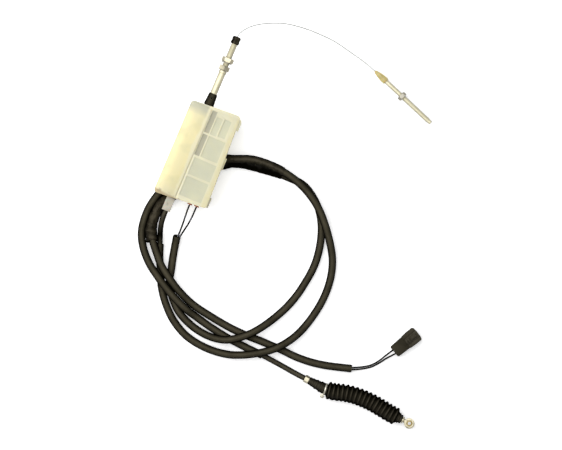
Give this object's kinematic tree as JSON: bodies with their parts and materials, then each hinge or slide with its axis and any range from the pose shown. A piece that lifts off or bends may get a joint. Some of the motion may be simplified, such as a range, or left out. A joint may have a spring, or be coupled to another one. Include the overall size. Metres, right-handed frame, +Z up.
{
  "type": "throttle control cable",
  "caption": "Control cable with an ivory junction housing and switch, threaded adjuster with lock nuts, wire end rod, bellows-booted pull rod and looped switch lead with connector.",
  "frame": {"origin": "on the adjuster's axis, at the bracket face of the lock washer", "axes": "+Y out along the adjuster's axis, away from the housing; +Z up from the surface that the part lies on; +X to the right of the adjuster seen from above"},
  "size_m": [0.4157, 0.4216, 0.05],
  "materials": {
    "ivory_shell": "translucent, satin",
    "black_plastic": "moulded, satin",
    "black_rubber": "satin",
    "sleeve": "fine ribs, satin",
    "conduit": "satin",
    "tape": "wound, crumpled",
    "lead": "satin",
    "yellow_zinc": "pale yellow zinc plating",
    "grey_steel": "bright zinc plating",
    "wire_strand": "stranded",
    "brass": "worn",
    "tan_plastic": "translucent, satin",
    "grey_plastic": "moulded",
    "white_plastic": "moulded",
    "orange_rubber": "satin",
    "red_plastic": "moulded"
  },
  "bodies": {
    "root": {"housing_base": "ivory_shell", "housing_cover": "ivory_shell", "standoffs": "black_plastic", "foot_inserts": "brass", "adjuster_socket": "black_plastic", "socket_pin": "black_plastic", "guide_tube": "grey_steel", "outlet_fitting": "white_plastic", "switch_body": "black_plastic", "switch_screws": "grey_steel", "switch_terminals": "brass", "wire_grommets": "orange_rubber", "inner_wire_bend": "wire_strand", "conduit_upper": "conduit", "cable_sleeve": "sleeve", "conduit_lower": "conduit", "wrap_right": "tape", "wrap_left": "tape", "switch_wire_a": "lead", "switch_wire_b": "lead", "harness_sleeve": "sleeve", "plug_wire_a": "lead", "plug_wire_b": "lead", "connector_body": "black_plastic", "connector_latch": "black_plastic", "connector_terminals": "brass", "wire_seals": "orange_rubber", "conduit_ferrule": "yellow_zinc", "conduit_end_tube": "grey_steel", "boot_neck": "black_rubber", "boot_clamp": "grey_steel", "bellows": "black_rubber", "pedal_wire": "wire_strand"},
    "slider": {"slider_block": "grey_plastic", "wire_nipple_in": "grey_steel", "wire_nipple_out": "grey_steel", "inner_wire_core": "wire_strand", "outlet_wire": "wire_strand", "cam_bar": "grey_plastic", "cam_screw": "grey_steel"},
    "plunger": {"switch_plunger": "red_plastic"},
    "pull_rod": {"pull_rod": "yellow_zinc", "bellows_end_collar": "black_rubber", "end_eye": "yellow_zinc", "eye_bush": "brass"},
    "wire_end": {"inner_wire_free": "wire_strand", "wire_olive": "tan_plastic", "end_rod": "yellow_zinc"},
    "rod_nut": {"rod_locknut": "grey_steel"},
    "adjuster": {"adjuster_tube": "yellow_zinc", "lock_washer": "grey_steel", "dust_cap": "black_rubber"},
    "lower_nut": {"lower_locknut": "yellow_zinc"},
    "upper_nut": {"upper_locknut": "yellow_zinc"}
  },
  "joints": [
    {"name": "pull_stroke", "type": "slide", "parent": "root", "child": "pull_rod", "axis": [0.9976, -0.0698, 0], "range_m": [0, 0.03], "deforming": ["bellows", "pedal_wire"]},
    {"name": "slider_travel", "type": "slide", "parent": "root", "child": "slider", "axis": [0, -1, 0], "range_m": [0, 0.03]},
    {"name": "wire_travel", "type": "slide", "parent": "root", "child": "wire_end", "axis": [-1, 0, 0], "range_m": [0, 0.03], "deforming": ["inner_wire_bend"]},
    {"name": "plunger_travel", "type": "slide", "parent": "root", "child": "plunger", "axis": [1, 0, 0], "range_m": [0, 0.003]},
    {"name": "adjuster_turn", "type": "hinge", "parent": "root", "child": "adjuster", "pos_m": [0, 0, 0], "axis": [0, 1, 0], "continuous": true},
    {"name": "lower_nut_turn", "type": "hinge", "parent": "adjuster", "child": "lower_nut", "pos_m": [0, -0.0067, 0], "axis": [0, 1, 0], "continuous": true},
    {"name": "upper_nut_turn", "type": "hinge", "parent": "adjuster", "child": "upper_nut", "pos_m": [0, 0.0043, 0], "axis": [0, 1, 0], "continuous": true},
    {"name": "rod_nut_turn", "type": "hinge", "parent": "wire_end", "child": "rod_nut", "pos_m": [0.21723, 0.04877, -0.0268], "axis": [0.9397, -0.342, 0], "continuous": true}
  ],
  "couplings": [
    {"joint": "slider_travel", "follows": "pull_stroke", "ratio": 1},
    {"joint": "wire_travel", "follows": "pull_stroke", "ratio": 1},
    {"joint": "plunger_travel", "follows": "pull_stroke", "ratio": 0.1}
  ]
}
